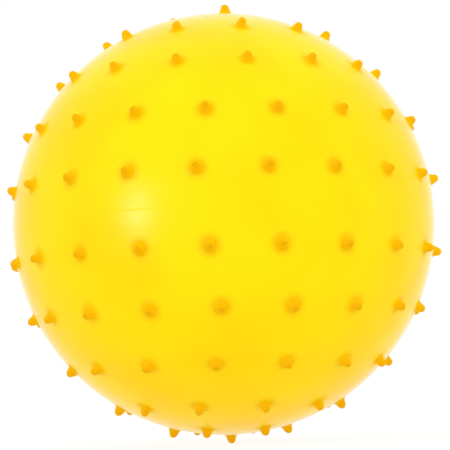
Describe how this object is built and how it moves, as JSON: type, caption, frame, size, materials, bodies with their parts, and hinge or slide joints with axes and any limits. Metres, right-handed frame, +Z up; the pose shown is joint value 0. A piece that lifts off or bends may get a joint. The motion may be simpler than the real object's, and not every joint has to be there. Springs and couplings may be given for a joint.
{
  "type": "knobby play ball",
  "caption": "Round inflatable play ball: a thin moulded vinyl skin with rows of short round-tipped knobs, a faint mould seam and a flush air valve with a pull-out plug.",
  "frame": {"origin": "centre of the ball, which is the centre of the skin's sphere", "axes": "+Z up along the valve's axis, from the centre to the plug; the mould seam lies in the XY plane; -Y is the front"},
  "size_m": [0.2054, 0.2054, 0.2062],
  "materials": {
    "skin_vinyl": "satin moulded soft vinyl, bright yellow",
    "knob_vinyl": "the same soft vinyl, deeper amber where it is thick",
    "sleeve_vinyl": "matt moulded soft vinyl, yellow",
    "plug_vinyl": "matt moulded soft vinyl, off-white"
  },
  "bodies": {
    "ball": {"skin": "skin_vinyl", "upper_knob_row_1": "knob_vinyl", "upper_knob_row_2": "knob_vinyl", "upper_knob_row_3": "knob_vinyl", "upper_knob_row_4": "knob_vinyl", "valve_knob_ring": "knob_vinyl", "lower_knob_row_1": "knob_vinyl", "lower_knob_row_2": "knob_vinyl", "lower_knob_row_3": "knob_vinyl", "lower_knob_row_4": "knob_vinyl", "bottom_knob_ring": "knob_vinyl", "bottom_knob": "knob_vinyl", "valve_sleeve": "sleeve_vinyl"},
    "plug": {"valve_plug": "plug_vinyl"}
  },
  "joints": [
    {"name": "plug_pull", "type": "slide", "parent": "ball", "child": "plug", "axis": [0, 0, 1], "range_m": [0, 0.025]}
  ]
}
